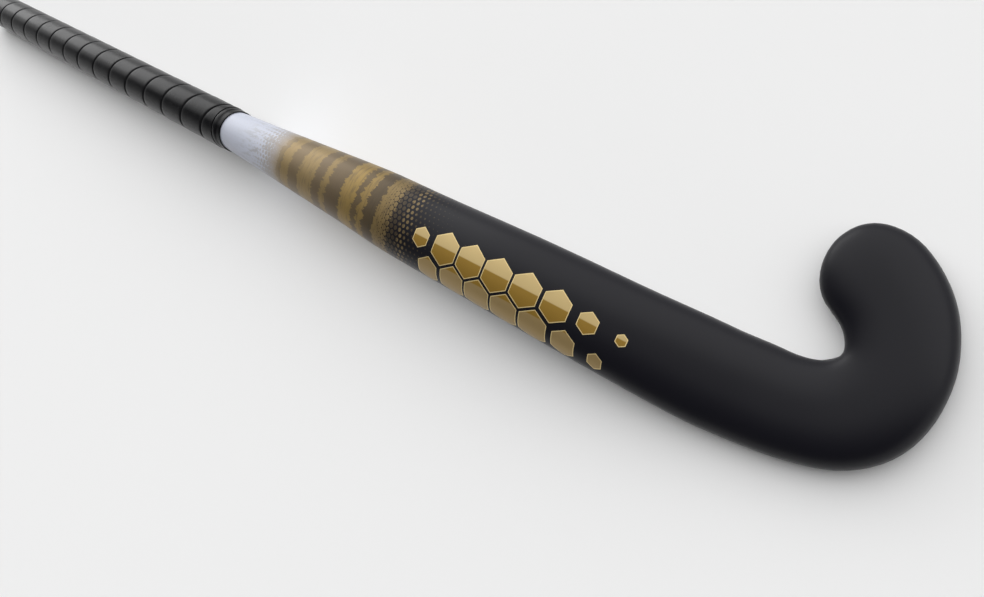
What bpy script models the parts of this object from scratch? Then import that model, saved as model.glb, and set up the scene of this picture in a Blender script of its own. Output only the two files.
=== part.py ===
"""Indoor field hockey stick: composite shell, twin inner tubes, foam head core, butt plug and wound grip.

Metres, +Z up. The stick lies on its flat playing face: +X runs towards the head, +Y towards the toe.
Distances along the stick, called s, are counted from the far end of the head, so the butt is at -LENGTH.
Distances along the centre line of the hook, called run, are counted from the point where the hook starts.
"""

import math

import bmesh
import bpy
from mathutils import Vector

MM = 0.001

# Overall size
LENGTH = 927 * MM
GAP = 0.3 * MM

# Bow: the playing face leaves the floor at BOW_START, is highest at BOW_TOP and is straight from BOW_END
BOW_HEIGHT = 22 * MM
BOW_START = -50 * MM
BOW_TOP = -225 * MM
BOW_END = -455 * MM

# Hook: radius of the centre line and degrees turned, from the shaft round to the toe
HOOK_ARCS = ((108.4 * MM, 20.55), (28 * MM, 89.3), (51.1 * MM, 36.25))
TOE_LENGTH = 28.1 * MM

# Shell: (run, width across the stick) and (run, height from the playing face to the back)
WIDTHS = (
    (-860 * MM, 25.4 * MM),
    (-396 * MM, 25.4 * MM),
    (-386 * MM, 27.2 * MM),
    (-351 * MM, 30.4 * MM),
    (-311 * MM, 34.6 * MM),
    (-266 * MM, 39.3 * MM),
    (-221 * MM, 43.8 * MM),
    (-176 * MM, 45.2 * MM),
    (-131 * MM, 46.8 * MM),
    (-95 * MM, 48.1 * MM),
    (-60 * MM, 49.0 * MM),
    (-25 * MM, 50.0 * MM),
    (5 * MM, 48.7 * MM),
    (30 * MM, 47.1 * MM),
    (54 * MM, 48.9 * MM),
    (75 * MM, 44.8 * MM),
    (95 * MM, 45.9 * MM),
    (115 * MM, 48.1 * MM),
)
HEIGHTS = (
    (-860 * MM, 25.4 * MM),
    (-396 * MM, 25.4 * MM),
    (-386 * MM, 27.2 * MM),
    (-300 * MM, 26.2 * MM),
    (-176 * MM, 22.6 * MM),
    (-76 * MM, 20.6 * MM),
    (27 * MM, 19.2 * MM),
    (54 * MM, 18.4 * MM),
    (108 * MM, 17.4 * MM),
)
# How far the section lies off the centre line, positive towards the toe
SIDE_SHIFTS = (
    (-260 * MM, 0.0),
    (-200 * MM, -0.8 * MM),
    (-130 * MM, -0.5 * MM),
    (-45 * MM, -1.4 * MM),
    (-15 * MM, -1.2 * MM),
    (10 * MM, 0.1 * MM),
    (35 * MM, -0.9 * MM),
    (75 * MM, -0.4 * MM),
    (95 * MM, -0.7 * MM),
    (117 * MM, 0.9 * MM),
    (130 * MM, 0.95 * MM),
    (143 * MM, 0.15 * MM),
)
# How far the section has turned from a circle, 0, into a flat-faced D, 1
D_SHAPE = ((-860 * MM, 0.0), (-386 * MM, 0.0), (-266 * MM, 0.5), (-96 * MM, 1.0), (140 * MM, 1.0))
ROUND_FLAT = 0.8 * MM
FACE_EDGE_WIDTH = 6.5 * MM
FACE_EDGE_HEIGHT = 6.0 * MM
# How full the back is: 2 is an ellipse and more is flatter, with tighter edges
BACK_FULLNESS = ((-266 * MM, 2.35), (-96 * MM, 2.5), (-20 * MM, 2.8), (60 * MM, 3.0), (140 * MM, 3.0))
SHELL_WALLS = ((-860 * MM, 2.0 * MM), (-300 * MM, 2.4 * MM), (-60 * MM, 3.2 * MM), (140 * MM, 3.6 * MM))
# The handle keeps one straight axis, so its playing side drops where the shell widens under the tape
FACE_DROPS = ((-860 * MM, 0.0), (-396 * MM, 0.0), (-386 * MM, 0.9 * MM), (-300 * MM, 0.0), (140 * MM, 0.0))
CAVITY_END = 104 * MM

# Inner tubes and core
TUBE_WALL = 1.1 * MM
TUBE_START = 24 * MM
TUBE_END = -62 * MM

# Handle pieces: radii, and distances along the handle from the butt
HANDLE_RADIUS = 12.7 * MM
FLANGE_RADIUS = 15.7 * MM
FLANGE_LENGTH = 4.5 * MM
FLANGE_EDGE = 1.2 * MM
SPIGOT_RADIUS = 10.3 * MM
SPIGOT_LENGTH = 18 * MM
SPIGOT_CHAMFER = 1.5 * MM
GRIP_LENGTH = 462 * MM
BAND_LENGTH = 10 * MM
UNDERLAY_INNER = 13.1 * MM
UNDERLAY_OUTER = 13.6 * MM
BAND_INNER = (13.2 * MM, 14.0 * MM)
BAND_OUTER = (14.75 * MM, 14.45 * MM)
BAND_EDGE = 0.4 * MM

# Wound tape: one strip, its edge towards the butt raised over the turn before it
TAPE_PITCH = 28.9 * MM
TAPE_SEAM = 0.6 * MM
TAPE_INNER = 13.95 * MM
TAPE_LOW = 14.55 * MM
TAPE_HIGH = 15.15 * MM
TAPE_SEAM_AT_BACK = 64.2 * MM
TAPE_LIP = 1.2 * MM
TAPE_EDGE = 0.4 * MM
TAPE_CORNER = 0.28 * MM
TAPE_SHOULDERS = (0.75, 0.2)
POINTS_PER_TURN = 24
LEAST_TAPE_GAP = 0.4 * MM
TRIM_RADIUS = 24 * MM

# Mesh steps
EDGE_STEPS = 3
CORNER_STEPS = 4
BACK_STEPS = 8
TURNED_STEPS = 32
SHAFT_STEP = 15 * MM
HOOK_STEP = 5 * MM
REACH_STEPS = 200
LEAN_STEP = 0.1 * MM
TOE_ANGLES = (18, 34, 48, 60, 70, 78, 84.5)
SHARP_ANGLE = 35
TUBE_SHARP_ANGLE = 50

BLACK = (0.012, 0.012, 0.014, 1)
RUBBER = (0.02, 0.02, 0.022, 1)
LAMINATE = (0.03, 0.03, 0.032, 1)
FOAM = (0.62, 0.56, 0.42, 1)
GRIP_BLACK = (0.016, 0.016, 0.018, 1)


def smooth(table, at):
    """The value of a (position, value) table, on a curve through its entries that never overshoots them."""
    spans = [(b[0] - a[0], (b[1] - a[1]) / (b[0] - a[0])) for a, b in zip(table, table[1:])]
    if at <= table[0][0]:
        return table[0][1]
    if at >= table[-1][0]:
        return table[-1][1]
    slopes = [0.0]
    for (_, before), (_, after) in zip(spans, spans[1:]):
        slopes.append(2 * before * after / (before + after) if before * after > 0 else 0.0)
    slopes.append(0.0)
    part = max(i for i, entry in enumerate(table[:-1]) if entry[0] <= at)
    step = spans[part][0]
    t = (at - table[part][0]) / step
    return (
        table[part][1] * (1 + 2 * t) * (1 - t) ** 2
        + table[part + 1][1] * (3 - 2 * t) * t * t
        + slopes[part] * step * t * (1 - t) ** 2
        - slopes[part + 1] * step * t * t * (1 - t)
    )


def hook_length():
    return sum(radius * math.radians(angle) for radius, angle in HOOK_ARCS)


def hook_point(run):
    """(x, y, heading) on the centre line, with the hook's start at the origin and heading along +X."""
    x, y, heading = min(run, 0.0), 0.0, 0.0
    left = max(run, 0.0)
    for radius, angle in HOOK_ARCS:
        turned = min(left / radius, math.radians(angle))
        x += radius * (math.sin(heading + turned) - math.sin(heading))
        y += radius * (math.cos(heading) - math.cos(heading + turned))
        heading += turned
        left -= radius * turned
    return x + left * math.cos(heading), y + left * math.sin(heading), heading


def head_reach():
    """How far the head's outer edge reaches past the hook's start."""
    reach = 0.0
    for step in range(REACH_STEPS):
        run = hook_length() * step / REACH_STEPS
        x, _, heading = hook_point(run)
        outside = smooth(WIDTHS, run) / 2 - smooth(SIDE_SHIFTS, run)
        reach = max(reach, x + outside * math.sin(heading))
    return reach


HOOK_START = -head_reach()
BUTT_LIFT = FLANGE_RADIUS - HANDLE_RADIUS
HANDLE_SLOPE = (BOW_HEIGHT - BUTT_LIFT) / (LENGTH + BOW_END + (BOW_TOP - BOW_END) / 2)
HANDLE_TILT = math.atan(HANDLE_SLOPE)
# The butt's end is square to the tilted handle, so its upper edge is the stick's far end
BUTT = -LENGTH + (HANDLE_RADIUS + FLANGE_RADIUS - FLANGE_EDGE) * math.sin(HANDLE_TILT)
SHELL_START = FLANGE_LENGTH + GAP
TAPE_END = GRIP_LENGTH - BAND_LENGTH


def rise(s):
    """Height of the shell's playing side over the floor."""
    if s >= BOW_START:
        return 0.0
    if s >= BOW_TOP:
        u = (s - BOW_START) / (BOW_TOP - BOW_START)
        return BOW_HEIGHT * u * u * (3 - 2 * u)
    if s >= BOW_END:
        return BOW_HEIGHT - HANDLE_SLOPE * (BOW_TOP - s) ** 2 / (BOW_TOP - BOW_END) / 2
    return BUTT_LIFT + HANDLE_SLOPE * (LENGTH + s)


def lean(s):
    """The playing side's angle to the floor, positive where it climbs towards the head."""
    return math.atan2(rise(s + LEAN_STEP) - rise(s - LEAN_STEP), 2 * LEAN_STEP)


def half_outline(width, bottom, top, flat, waist, fullness):
    """Half a section, from the middle of the playing face to the middle of the back, as (side, height)."""
    side = width / 2
    edge = side - flat / 2
    points = [(0.0, bottom), (flat / 2, bottom)]
    for step in range(1, CORNER_STEPS + 1):
        angle = math.pi / 2 * step / CORNER_STEPS
        points.append((flat / 2 + edge * math.sin(angle), waist - (waist - bottom) * math.cos(angle)))
    for step in range(1, BACK_STEPS + 1):
        angle = math.pi / 2 * step / BACK_STEPS
        across = side * max(math.cos(angle), 0.0) ** (2 / fullness) if step < BACK_STEPS else 0.0
        points.append((across, waist + (top - waist) * math.sin(angle) ** (2 / fullness)))
    return points


def half_section(run, inset=0.0, toe=0.0):
    """The stick's half section at a run, drawn in all round by inset, and drawn in as toe goes from 0 to 1."""
    d_shape = smooth(D_SHAPE, run)
    whole, height = smooth(WIDTHS, run), smooth(HEIGHTS, run)
    waist = height / 2 + d_shape * (FACE_EDGE_HEIGHT - height / 2)
    flat = ROUND_FLAT + d_shape * (whole - 2 * FACE_EDGE_WIDTH - ROUND_FLAT)
    fullness = 2 + d_shape * (smooth(BACK_FULLNESS, run) - 2)
    width = (whole - 2 * inset) * math.sqrt(1 - toe * toe)
    top = waist + (height - inset - waist) * (1 - toe**fullness) ** (1 / fullness)
    near_end = max(1 - TOE_LENGTH * (1 - toe) / FACE_EDGE_WIDTH, 0.0)
    bottom = inset + (waist - inset) * (1 - math.sqrt(1 - near_end**2)) if toe else inset
    flat = min(flat * width / (whole - 2 * inset), width - 2 * GAP)
    return half_outline(width, bottom, top, flat, waist, fullness)


def placed(points, run, toe=0.0):
    """Section points (side, height) as points of the stick, square to its centre line and riding on the bow."""
    at = run + TOE_LENGTH * toe
    x, y, heading = hook_point(at)
    s = x + HOOK_START
    tilt = lean(s)
    side = Vector((-math.sin(heading), math.cos(heading), 0))
    up = Vector((-math.sin(tilt), 0, math.cos(tilt)))
    base = Vector((s, y, rise(s))) - up * smooth(FACE_DROPS, run) + side * smooth(SIDE_SHIFTS, at)
    return [base + side * across + up * height for across, height in points]


def both_sides(half):
    """A whole section from its half, going round once."""
    return half + [(-across, height) for across, height in half[-2:0:-1]]


def clear_scene():
    for obj in list(bpy.data.objects):
        bpy.data.objects.remove(obj)


def collection(name, hidden=False):
    made = bpy.data.collections.new(name)
    bpy.context.scene.collection.children.link(made)
    made.hide_render = hidden
    return made


def material(name, color, roughness, metallic=0.0):
    made = bpy.data.materials.new(name)
    made.use_nodes = True
    shader = made.node_tree.nodes["Principled BSDF"]
    shader.inputs["Base Color"].default_value = color
    shader.inputs["Roughness"].default_value = roughness
    shader.inputs["Metallic"].default_value = metallic
    made.diffuse_color = color
    return made


def add_object(name, bm, home, parent, look, sharp=SHARP_ANGLE):
    """A mesh object from a bmesh, with its faces turned outwards and shaded smooth but for sharp edges."""
    bmesh.ops.recalc_face_normals(bm, faces=bm.faces)
    mesh = bpy.data.meshes.new(name)
    bm.to_mesh(mesh)
    bm.free()
    mesh.shade_smooth()
    mesh.set_sharp_from_angle(angle=math.radians(sharp))
    obj = bpy.data.objects.new(name, mesh)
    home.objects.link(obj)
    obj.parent = parent
    if look:
        mesh.materials.append(look)
    return obj


def add_rings(bm, rings):
    """Vertices of each ring in turn, with a band of quads between neighbours."""
    loops = [[bm.verts.new(point) for point in ring] for ring in rings]
    for loop, following in zip(loops, loops[1:]):
        for i, vert in enumerate(loop):
            after = (i + 1) % len(loop)
            bm.faces.new((vert, loop[after], following[after], following[i]))
    return loops


def join_mouths(bm, outer, inner):
    """The flat ring between an outer and an inner loop."""
    for i in range(len(outer)):
        after = (i + 1) % len(outer)
        bm.faces.new((outer[i], outer[after], inner[after], inner[i]))


def runs_between(start, stop, step):
    count = max(round((stop - start) / step), 1)
    return [start + (stop - start) * i / count for i in range(count + 1)]


def run_from_butt(distance):
    """The run of a point on the handle, from its distance along the handle."""
    return BUTT + distance * math.cos(HANDLE_TILT) - HOOK_START


def handle_runs(start):
    """Where the handle has a section, from a distance to the butt; the shell widens under the finishing tape."""
    taped = runs_between(run_from_butt(TAPE_END), run_from_butt(GRIP_LENGTH), BAND_LENGTH / 3)
    return [run_from_butt(start), run_from_butt(GRIP_LENGTH / 2)] + taped


def shaft_runs():
    return runs_between(run_from_butt(GRIP_LENGTH), TUBE_END, SHAFT_STEP)[1:]


def head_runs():
    return runs_between(TUBE_END, hook_length(), HOOK_STEP)[1:]


def core_runs():
    """Every second section of the head, as far as the core reaches."""
    return [run for run in head_runs()[1::2] if run < CAVITY_END]


def wall(run):
    return smooth(SHELL_WALLS, run)


def outer_shell(home, parent):
    """The moulded shell: a round handle, a flat-faced bowed shaft and the hook, hollow and open at the butt."""
    runs = handle_runs(SHELL_START) + shaft_runs() + head_runs()
    cavity = handle_runs(SHELL_START) + shaft_runs() + core_runs()
    rings = [placed(both_sides(half_section(run)), run) for run in runs]
    for angle in TOE_ANGLES:
        toe = math.sin(math.radians(angle))
        rings.append(placed(both_sides(half_section(hook_length(), 0.0, toe)), hook_length(), toe))
    bm = bmesh.new()
    outside = add_rings(bm, rings)
    inside = add_rings(bm, [placed(both_sides(half_section(run, wall(run))), run) for run in cavity])
    bm.faces.new(outside[-1])
    bm.faces.new(inside[-1])
    join_mouths(bm, outside[0], inside[0])
    return add_object("outer_shell", bm, home, parent, material("shell black", BLACK, 0.42))


def tube_section(run, inset, web, side):
    """One side of the shell's cavity, drawn in by inset and standing off the middle plane by web."""
    half = half_section(run, inset)
    reach = max(across for across, _ in half)
    return [(side * (web + across * (reach - web) / reach), height) for across, height in half]


def inner_tube(name, side, home, parent, look):
    """One of the two moulded tubes that lie side by side in the shaft, open at both ends."""
    runs = handle_runs(TUBE_START) + shaft_runs()
    bm = bmesh.new()
    skins = []
    for inset, web in ((GAP, GAP / 2), (GAP + TUBE_WALL, GAP / 2 + TUBE_WALL)):
        rings = [placed(tube_section(run, wall(run) + inset, web, side), run) for run in runs]
        skins.append(add_rings(bm, rings))
    join_mouths(bm, skins[0][0], skins[1][0])
    join_mouths(bm, skins[0][-1], skins[1][-1])
    return add_object(name, bm, home, parent, look, TUBE_SHARP_ANGLE)


def head_core(home, parent):
    """The foam core that fills the hook, from the end of the tubes almost to the toe."""
    runs = [TUBE_END + GAP] + core_runs()
    runs[-1] -= GAP
    bm = bmesh.new()
    loops = add_rings(bm, [placed(both_sides(half_section(run, wall(run) + GAP)), run) for run in runs])
    bm.faces.new(loops[0])
    bm.faces.new(loops[-1])
    return add_object("head_core", bm, home, parent, material("core foam", FOAM, 0.9))


def turned(name, profile, home, parent, look):
    """A closed (radius, distance) profile turned about the handle's axis."""
    bm = bmesh.new()
    verts = [bm.verts.new((radius, 0, along)) for radius, along in profile]
    ends = zip(verts, verts[1:] + verts[:1])
    for vert, following in ends:
        if vert.co.x > 0 or following.co.x > 0:
            bm.edges.new((vert, following))
    obj = add_object(name, bm, home, parent, look)
    screw = obj.modifiers.new("turn", "SCREW")
    screw.axis = "Z"
    screw.angle = math.tau
    screw.steps = TURNED_STEPS
    screw.render_steps = TURNED_STEPS
    screw.use_merge_vertices = True
    screw.merge_threshold = 0.01 * MM
    return obj


def butt_plug(home, parent):
    """The moulded plug that closes the handle: a spigot in the bore and a flange that the tape butts against."""
    tip = FLANGE_LENGTH + SPIGOT_LENGTH
    profile = [
        (0.0, tip),
        (SPIGOT_RADIUS - SPIGOT_CHAMFER, tip),
        (SPIGOT_RADIUS, tip - SPIGOT_CHAMFER),
        (SPIGOT_RADIUS, FLANGE_LENGTH),
        (FLANGE_RADIUS, FLANGE_LENGTH),
    ]
    for step in range(EDGE_STEPS + 1):
        angle = math.pi / 2 * step / EDGE_STEPS
        profile.append(
            (FLANGE_RADIUS - FLANGE_EDGE * (1 - math.cos(angle)), FLANGE_EDGE * (1 - math.sin(angle)))
        )
    profile.append((0.0, 0.0))
    return turned("butt_plug", profile, home, parent, material("plug rubber", RUBBER, 0.6))


def grip_underlay(home, parent):
    """The thin cushion sleeve between the shell and the tape."""
    start, end = FLANGE_LENGTH + GAP, TAPE_END - GAP
    profile = [
        (UNDERLAY_OUTER, end),
        (UNDERLAY_OUTER, start),
        (UNDERLAY_INNER, start),
        (UNDERLAY_INNER, end),
    ]
    return turned("grip_underlay", profile, home, parent, material("underlay foam", LAMINATE, 0.85))


def finishing_tape(home, parent):
    """The narrow band that ties down the tape's lower end and eases it into the shaft."""
    start, end = TAPE_END, GRIP_LENGTH
    profile = [
        (BAND_INNER[1], end),
        (BAND_OUTER[1] - BAND_EDGE, end),
        (BAND_OUTER[1], end - BAND_EDGE),
        (BAND_OUTER[0], start + BAND_EDGE),
        (BAND_OUTER[0] - BAND_EDGE, start),
        (BAND_INNER[0], start),
    ]
    return turned("finishing_tape", profile, home, parent, material("band black", GRIP_BLACK, 0.45))


def tape_section():
    """The strip's section, as (distance from its edge towards the butt, radius)."""
    strip = TAPE_PITCH - TAPE_SEAM
    low_shoulder, high_shoulder = (
        (strip * part, TAPE_HIGH - (TAPE_HIGH - TAPE_LOW) * part) for part in TAPE_SHOULDERS
    )
    return [
        (TAPE_EDGE, TAPE_INNER),
        (strip - TAPE_EDGE, TAPE_INNER),
        (strip, TAPE_INNER + TAPE_CORNER),
        (strip - TAPE_EDGE, TAPE_LOW),
        low_shoulder,
        high_shoulder,
        (TAPE_LIP, TAPE_HIGH),
        (0.0, TAPE_HIGH - TAPE_EDGE),
    ]


def least_gap(rings):
    """The least distance between the points of a turn and those of the next."""
    least = TAPE_PITCH
    for ring, above in zip(rings, rings[POINTS_PER_TURN:]):
        for point in ring:
            least = min(least, min((point - other).length for other in above))
    return least


def grip_tape(home, cutters, parent):
    """One strip wound over the underlay from the butt down to the finishing tape, trimmed square at both."""
    start, end = FLANGE_LENGTH + GAP, TAPE_END - GAP
    seams_before = math.ceil((TAPE_SEAM_AT_BACK - start) / TAPE_PITCH) + 1
    first = TAPE_SEAM_AT_BACK - TAPE_PITCH * seams_before
    turns = math.ceil((end - first) / TAPE_PITCH) + 1
    section = tape_section()
    rings = []
    for step in range(turns * POINTS_PER_TURN + 1):
        turn = step / POINTS_PER_TURN
        angle = math.pi - math.tau * turn
        along = first + TAPE_SEAM / 2 + TAPE_PITCH * turn
        side = Vector((math.cos(angle), math.sin(angle), 0))
        rings.append([side * radius + Vector((0, 0, along + across)) for across, radius in section])
    gap = least_gap(rings)
    print("least gap between turns of the tape, mm:", round(gap / MM, 3))
    assert gap > LEAST_TAPE_GAP
    bm = bmesh.new()
    loops = add_rings(bm, rings)
    bm.faces.new(loops[0])
    bm.faces.new(loops[-1])
    tape = add_object("grip_tape", bm, home, parent, material("grip black", GRIP_BLACK, 0.5))
    bm = bmesh.new()
    bmesh.ops.create_cone(
        bm,
        cap_ends=True,
        segments=TURNED_STEPS,
        radius1=TRIM_RADIUS,
        radius2=TRIM_RADIUS,
        depth=end - start,
    )
    bmesh.ops.translate(bm, verts=bm.verts, vec=(0, 0, (start + end) / 2))
    cutter = add_object("tape_trim_cutter", bm, cutters, parent, None)
    cutter.hide_render = True
    cutter.display_type = "WIRE"
    trim = tape.modifiers.new("trim", "BOOLEAN")
    trim.operation = "INTERSECT"
    trim.object = cutter
    return tape


def empty(name, home, parent=None):
    made = bpy.data.objects.new(name, None)
    home.objects.link(made)
    made.parent = parent
    return made


def build():
    clear_scene()
    home = collection("hockey_stick")
    cutters = collection("cutters", hidden=True)
    frame = empty("stick_frame", home)
    handle = empty("handle_axis", home, frame)
    handle.rotation_euler = (0, math.pi / 2 - HANDLE_TILT, 0)
    up = Vector((-math.sin(HANDLE_TILT), 0, math.cos(HANDLE_TILT)))
    handle.location = Vector((BUTT, 0, rise(BUTT))) + up * HANDLE_RADIUS
    shell = outer_shell(home, frame)
    laminate = material("tube laminate", LAMINATE, 0.5)
    inner_tube("inner_tube_toe_side", 1, home, frame, laminate)
    inner_tube("inner_tube_heel_side", -1, home, frame, laminate)
    head_core(home, frame)
    butt_plug(home, handle)
    grip_underlay(home, handle)
    grip_tape(home, cutters, handle)
    finishing_tape(home, handle)
    sides = [vert.co.y for vert in shell.data.vertices]
    frame.location = (LENGTH / 2, -(min(sides) + max(sides)) / 2, 0)
    bpy.context.view_layer.update()


build()
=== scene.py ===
"""Looks of the indoor hockey stick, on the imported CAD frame. Metres, +X to the head, +Y to the toe, +Z up.

Distances along the stick, called s, are counted from the far end of the head. Distances along the centre line
of the hook, called run, are counted from the point where the hook starts. Both are as in the part's source.
"""

import math
from collections import namedtuple

import bmesh
import bpy
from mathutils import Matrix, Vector, noise


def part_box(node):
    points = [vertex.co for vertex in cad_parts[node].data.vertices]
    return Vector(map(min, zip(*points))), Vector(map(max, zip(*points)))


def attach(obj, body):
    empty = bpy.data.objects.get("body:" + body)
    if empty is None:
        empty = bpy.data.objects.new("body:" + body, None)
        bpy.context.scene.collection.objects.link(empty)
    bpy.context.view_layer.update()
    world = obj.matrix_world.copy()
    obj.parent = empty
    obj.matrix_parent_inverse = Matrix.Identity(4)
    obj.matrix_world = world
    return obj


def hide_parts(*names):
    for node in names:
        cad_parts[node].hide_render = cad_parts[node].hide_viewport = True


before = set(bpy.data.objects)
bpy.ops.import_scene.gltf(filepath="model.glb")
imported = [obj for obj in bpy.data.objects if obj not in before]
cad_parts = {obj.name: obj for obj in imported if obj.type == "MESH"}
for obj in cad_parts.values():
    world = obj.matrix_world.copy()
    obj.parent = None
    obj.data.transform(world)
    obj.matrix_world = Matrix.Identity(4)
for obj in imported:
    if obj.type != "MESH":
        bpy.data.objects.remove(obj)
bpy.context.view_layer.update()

MM = 0.001

# The stick's sizes, the same as the part's
LENGTH = 927 * MM
GAP = 0.3 * MM
BOW_HEIGHT = 22 * MM
BOW_START = -50 * MM
BOW_TOP = -225 * MM
BOW_END = -455 * MM
HOOK_ARCS = ((108.4 * MM, 20.55), (28 * MM, 89.3), (51.1 * MM, 36.25))
TOE_LENGTH = 28.1 * MM
WIDTHS = (
    (-860 * MM, 25.4 * MM),
    (-396 * MM, 25.4 * MM),
    (-386 * MM, 27.2 * MM),
    (-351 * MM, 30.4 * MM),
    (-311 * MM, 34.6 * MM),
    (-266 * MM, 39.3 * MM),
    (-221 * MM, 43.8 * MM),
    (-176 * MM, 45.2 * MM),
    (-131 * MM, 46.8 * MM),
    (-95 * MM, 48.1 * MM),
    (-60 * MM, 49.0 * MM),
    (-25 * MM, 50.0 * MM),
    (5 * MM, 48.7 * MM),
    (30 * MM, 47.1 * MM),
    (54 * MM, 48.9 * MM),
    (75 * MM, 44.8 * MM),
    (95 * MM, 45.9 * MM),
    (115 * MM, 48.1 * MM),
)
HEIGHTS = (
    (-860 * MM, 25.4 * MM),
    (-396 * MM, 25.4 * MM),
    (-386 * MM, 27.2 * MM),
    (-300 * MM, 26.2 * MM),
    (-176 * MM, 22.6 * MM),
    (-76 * MM, 20.6 * MM),
    (27 * MM, 19.2 * MM),
    (54 * MM, 18.4 * MM),
    (108 * MM, 17.4 * MM),
)
# How far the section lies off the centre line, positive towards the toe
SIDE_SHIFTS = (
    (-260 * MM, 0.0),
    (-200 * MM, -0.8 * MM),
    (-130 * MM, -0.5 * MM),
    (-45 * MM, -1.4 * MM),
    (-15 * MM, -1.2 * MM),
    (10 * MM, 0.1 * MM),
    (35 * MM, -0.9 * MM),
    (75 * MM, -0.4 * MM),
    (95 * MM, -0.7 * MM),
    (117 * MM, 0.9 * MM),
    (130 * MM, 0.95 * MM),
    (143 * MM, 0.15 * MM),
)
# How far the section has turned from a circle, 0, into a flat-faced D, 1
D_SHAPE = ((-860 * MM, 0.0), (-386 * MM, 0.0), (-266 * MM, 0.5), (-96 * MM, 1.0), (140 * MM, 1.0))
ROUND_FLAT = 0.8 * MM
FACE_EDGE_WIDTH = 6.5 * MM
FACE_EDGE_HEIGHT = 6.0 * MM
BACK_FULLNESS = ((-266 * MM, 2.35), (-96 * MM, 2.5), (-20 * MM, 2.8), (60 * MM, 3.0), (140 * MM, 3.0))
SHELL_WALLS = ((-860 * MM, 2.0 * MM), (-300 * MM, 2.4 * MM), (-60 * MM, 3.2 * MM), (140 * MM, 3.6 * MM))
FACE_DROPS = ((-860 * MM, 0.0), (-396 * MM, 0.0), (-386 * MM, 0.9 * MM), (-300 * MM, 0.0), (140 * MM, 0.0))
CAVITY_END = 104 * MM
HANDLE_RADIUS = 12.7 * MM
FLANGE_RADIUS = 15.7 * MM
FLANGE_LENGTH = 4.5 * MM
FLANGE_EDGE = 1.2 * MM
SPIGOT_RADIUS = 10.3 * MM
SPIGOT_LENGTH = 18 * MM
SPIGOT_CHAMFER = 1.5 * MM
GRIP_LENGTH = 462 * MM
BAND_LENGTH = 10 * MM
TAPE_PITCH = 28.9 * MM
TAPE_SEAM = 0.6 * MM
TAPE_INNER = 13.95 * MM
WRAP_LOW = 14.9 * MM
WRAP_HIGH = 15.1 * MM
TAPE_SEAM_AT_BACK = 64.2 * MM

# The tape's rolled edge: (distance in from the edge, depth under the strip's surface)
WRAP_EDGE = (
    (0.0, 0.6 * MM),
    (0.15 * MM, 0.42 * MM),
    (0.45 * MM, 0.28 * MM),
    (0.9 * MM, 0.16 * MM),
    (1.5 * MM, 0.07 * MM),
    (2.4 * MM, 0.02 * MM),
    (3.6 * MM, 0.0),
)
# The strip's underside is drawn in at both edges, and its side walls start a foot above it. The raised edge's
# wall leans in at the foot.
WRAP_UNDER_INSET = 0.4 * MM
WRAP_FOOT = 0.2 * MM
WRAP_FOOT_INSET = 0.05 * MM
# Shares of the strip's width at which its outer face has a point between the edges
WRAP_MIDDLE = (0.7, 0.5, 0.3)
# The hand-wound look: how far a turn slides and swells, how fast that changes, and its rows in the noise
WANDER = 1.5 * MM
WANDER_RATE = 0.83
WANDER_ROW = 0.0
SWELL = 0.08 * MM
SWELL_RATE = 1.7
SWELL_ROW = 4.0
NOISE_LAYER = 0.5
# How deep under the tape's surface a point may lie and still swell with it
SWELL_DEPTH = 0.7 * MM
# The edge's matt part, which the mesh marks for the material
MATT_EDGE = 1.2 * MM
ROLLED_EDGE = "rolled_edge"
# The distance round the shell from the middle of its back, which the mesh keeps for the print
AROUND = "around"

# The finishing band: its inner side and its rounded lower edge
BAND_INNER_TOP = 13.2 * MM
BAND_INNER_LOW = 14.0 * MM
BAND_EDGE = 0.4 * MM
BAND_EDGE_CENTRE = 14.05 * MM
BAND_LIP = 0.1 * MM
# Its skin as (radius, distance): from its lower end over the lower turn and the step, then from its upper end
BAND_FROM_LOW = (
    (14.47 * MM, 1.2 * MM),
    (14.5 * MM, 3.2 * MM),
    (14.5 * MM, 5.4 * MM),
    (14.68 * MM, 5.9 * MM),
    (14.74 * MM, 6.6 * MM),
)
BAND_FROM_TOP = ((14.8 * MM, 2.0 * MM), (14.78 * MM, 0.7 * MM), (14.6 * MM, 0.2 * MM), (14.4 * MM, 0.0))
# The plug: the small edge of the flange on the grip's side, and the moulded dish in its end
FLANGE_SMALL_EDGE = 0.4 * MM
DISH_RADIUS = 9.5 * MM
DISH_DEPTH = 0.6 * MM
DISH_SLOPE = 0.8 * MM

# Finer steps than the part's, for smooth shading. The fine ones of the head start at the run FINE_FROM.
CORNER_STEPS = 7
BACK_STEPS = 22
FLAT_STEPS = 5
HANDLE_STEP = 30 * MM
BAND_STEP = 1.6 * MM
SHAFT_STEP = 6 * MM
HOOK_STEP = 2.5 * MM
FINE_FROM = -62 * MM
REACH_STEPS = 200
LEAN_STEP = 0.1 * MM
TOE_ANGLES = (8, 16, 24, 32, 40, 47, 54, 60, 66, 71, 75.5, 79.5, 83, 86, 88.4)
TAPE_TURN_STEPS = 72
LATHE_STEPS = 96
SMALL_EDGE_STEPS = 3
FLANGE_EDGE_STEPS = 6
BAND_EDGE_STEPS = 5
# Where the hook's inner edge turns tightest, and how far round it and how often the skin is evened out
THROAT_RUN = 60 * MM
THROAT_REACH = 34 * MM
THROAT_ROUNDS = 60
# Faces of a piece that meet at more than this angle, in degrees, meet at a sharp edge
SHARP_ANGLES = {"shell_skin": 40, "butt_cap": 30, "grip_band": 50, "grip_wrap": 42}

# The camera, solved from the photographed outline: place in metres, turn in degrees, focal length in mm
CAMERA_PLACE = (0.52663, -0.00555, 0.41685)
CAMERA_TURN = (12.207, 33.894, 30.329)
CAMERA_LENS = 33.029
CAMERA_SENSOR = 36
CAMERA_NEAREST = 0.01

# The floor reaches this far each way, and lies a hair under the stick
FLOOR_REACH = 1.8
FLOOR_DROP = 0.2 * MM
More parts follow.
